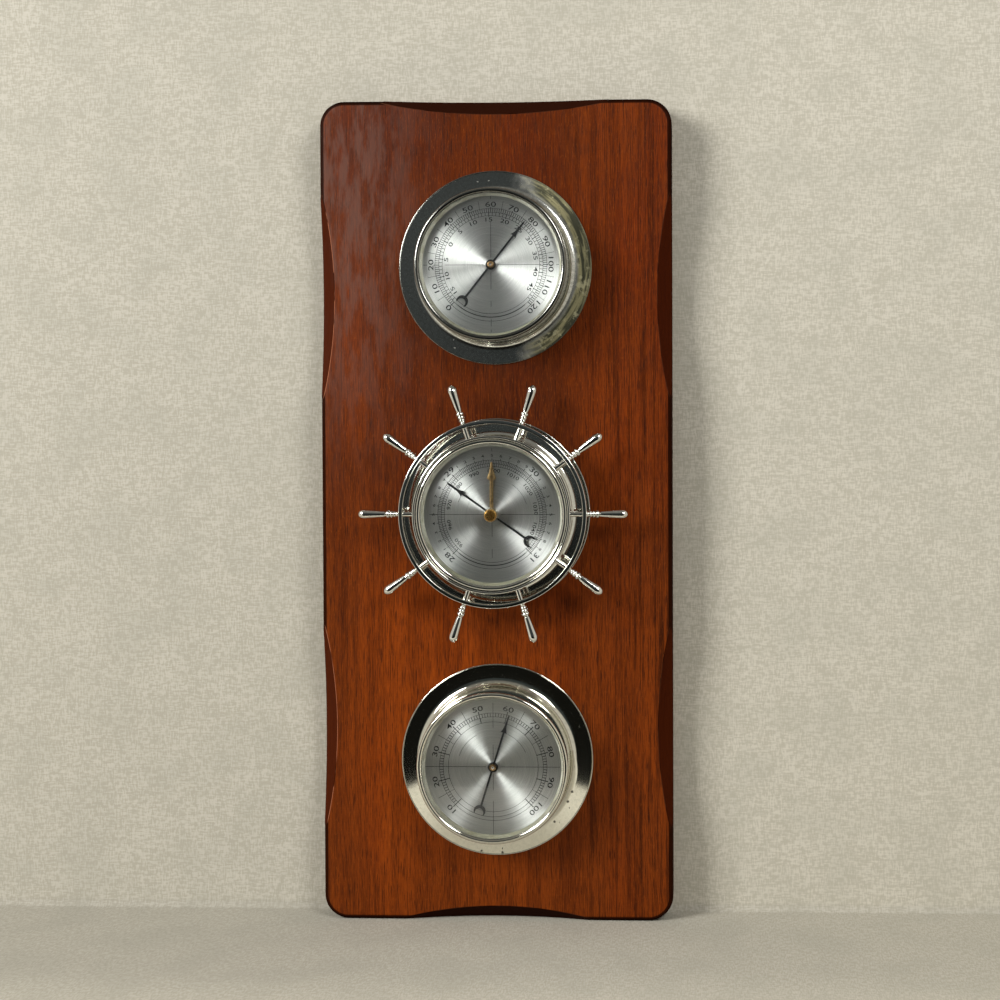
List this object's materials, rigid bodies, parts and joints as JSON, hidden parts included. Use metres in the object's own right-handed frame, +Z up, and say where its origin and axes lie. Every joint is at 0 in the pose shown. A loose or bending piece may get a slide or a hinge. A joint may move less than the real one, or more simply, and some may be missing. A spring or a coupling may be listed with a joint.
{
  "type": "wall weather station",
  "caption": "Wooden wall plank with a dial thermometer, an aneroid barometer ringed by a ship's wheel and a dial hygrometer in a column",
  "frame": {"origin": "on the wall plane, where the nail's shank bears in the top of the keyhole plate", "axes": "+X to the right as it is read, +Y into the wall, +Z up"},
  "size_m": [0.2286, 0.0506, 0.5334],
  "materials": {
    "stained_wood": "stained reddish brown, semi-gloss",
    "steel": "plain",
    "brass": "turned, lightly aged",
    "thermometer_bezel_metal": "polished, tarnished in patches",
    "hygrometer_bezel_metal": "polished, tarnished in patches",
    "barometer_bezel_metal": "polished",
    "clear_glass": "clear, flat",
    "cream_ring": "cream",
    "dial_aluminium": "brushed in circles, with a plain printed scale",
    "case_steel": "zinc plated",
    "coil_bronze": "rolled strip",
    "humidity_strip": "rolled strip faced with paper",
    "black_enamel": "black",
    "clear_plastic": "clear",
    "bright_chrome": "polished",
    "capsule_metal": "nickel silver, pressed"
  },
  "bodies": {
    "plank": {"backboard": "stained_wood", "keyhole_plate": "steel", "keyhole_screws": "brass", "thermometer_bezel": "thermometer_bezel_metal", "thermometer_glass": "clear_glass", "thermometer_spacer_ring": "cream_ring", "thermometer_dial": "dial_aluminium", "thermometer_case": "case_steel", "thermometer_lock_ring": "steel", "thermometer_spring_clips": "steel", "thermometer_bush": "brass", "thermometer_bridge": "brass", "thermometer_bimetal_coil": "coil_bronze", "hygrometer_bezel": "hygrometer_bezel_metal", "hygrometer_glass": "clear_glass", "hygrometer_spacer_ring": "cream_ring", "hygrometer_dial": "dial_aluminium", "hygrometer_case": "case_steel", "hygrometer_lock_ring": "steel", "hygrometer_spring_clips": "steel", "hygrometer_bush": "brass", "hygrometer_bridge": "brass", "hygrometer_humidity_coil": "humidity_strip", "barometer_bezel": "barometer_bezel_metal", "barometer_glass": "clear_glass", "barometer_spacer_ring": "cream_ring", "barometer_dial": "dial_aluminium", "barometer_case": "case_steel", "barometer_lock_ring": "steel", "barometer_spring_clips": "steel", "barometer_bush": "brass", "barometer_hairspring": "steel", "barometer_bridge": "brass", "wheel_nave": "bright_chrome", "wheel_rim": "bright_chrome", "wheel_spokes": "bright_chrome", "base_plate": "brass", "bridge_pillars": "brass", "movement_screws": "steel", "case_screws": "steel", "aneroid_capsule": "capsule_metal", "main_spring": "steel", "rocker_posts": "brass"},
    "thermometer_hand": {"thermometer_arbor": "steel", "thermometer_hub": "brass", "thermometer_pointer": "black_enamel"},
    "hygrometer_hand": {"hygrometer_arbor": "steel", "hygrometer_hub": "brass", "hygrometer_pointer": "black_enamel"},
    "barometer_hand": {"barometer_arbor": "steel", "barometer_pointer": "black_enamel"},
    "spring_lever": {"lever": "brass", "capsule_stud": "steel"},
    "rocking_shaft": {"rocker": "brass"},
    "fusee_chain": {"chain": "steel"},
    "marker": {"set_hand": "brass", "set_knob": "brass", "knob_washer": "clear_plastic"},
    "zero_adjuster": {"adjusting_screw": "brass"}
  },
  "joints": [
    {"name": "thermometer_pointer_turn", "type": "hinge", "parent": "plank", "child": "thermometer_hand", "pos_m": [0, -0.0409, -0.0832], "axis": [0, 1, 0], "range_deg": [-176.4, 99.6], "stiffness_Nm_per_rad": 0.001, "deforming": ["thermometer_bimetal_coil"]},
    {"name": "hygrometer_pointer_turn", "type": "hinge", "parent": "plank", "child": "hygrometer_hand", "pos_m": [0, -0.0409, -0.4025], "axis": [0, 1, 0], "range_deg": [-155.3, 120.7], "stiffness_Nm_per_rad": 0.001, "deforming": ["hygrometer_humidity_coil"]},
    {"name": "barometer_pointer_turn", "type": "hinge", "parent": "plank", "child": "barometer_hand", "pos_m": [0, -0.0409, -0.2415], "axis": [0, 1, 0], "range_deg": [-83.4, 192.6], "stiffness_Nm_per_rad": 0.0005, "deforming": ["barometer_hairspring"]},
    {"name": "rocking_shaft_turn", "type": "hinge", "parent": "plank", "child": "rocking_shaft", "pos_m": [0.028, -0.023, -0.2415], "axis": [0, 0, 1], "range_deg": [-12.89, 5.61]},
    {"name": "spring_lever_flex", "type": "hinge", "parent": "plank", "child": "spring_lever", "pos_m": [-0.024, -0.0196, -0.2415], "axis": [0, 0, 1], "range_deg": [-0.47, 1.08], "deforming": ["aneroid_capsule", "main_spring"]},
    {"name": "chain_draw", "type": "slide", "parent": "plank", "child": "fusee_chain", "axis": [-1, 0, 0], "range_m": [-0.00117, 0.0027]},
    {"name": "marker_turn", "type": "hinge", "parent": "plank", "child": "marker", "pos_m": [0, -0.045, -0.2415], "axis": [0, 1, 0], "continuous": true},
    {"name": "zero_adjuster_turn", "type": "hinge", "parent": "plank", "child": "zero_adjuster", "pos_m": [0, -0.009, -0.2415], "axis": [0, 1, 0], "range_deg": [-90, 90]}
  ],
  "couplings": [
    {"joint": "rocking_shaft_turn", "follows": "barometer_pointer_turn", "ratio": -0.066667},
    {"joint": "spring_lever_flex", "follows": "barometer_pointer_turn", "ratio": 0.0055556},
    {"joint": "chain_draw", "follows": "barometer_pointer_turn", "m_per_rad": 0.0008}
  ]
}
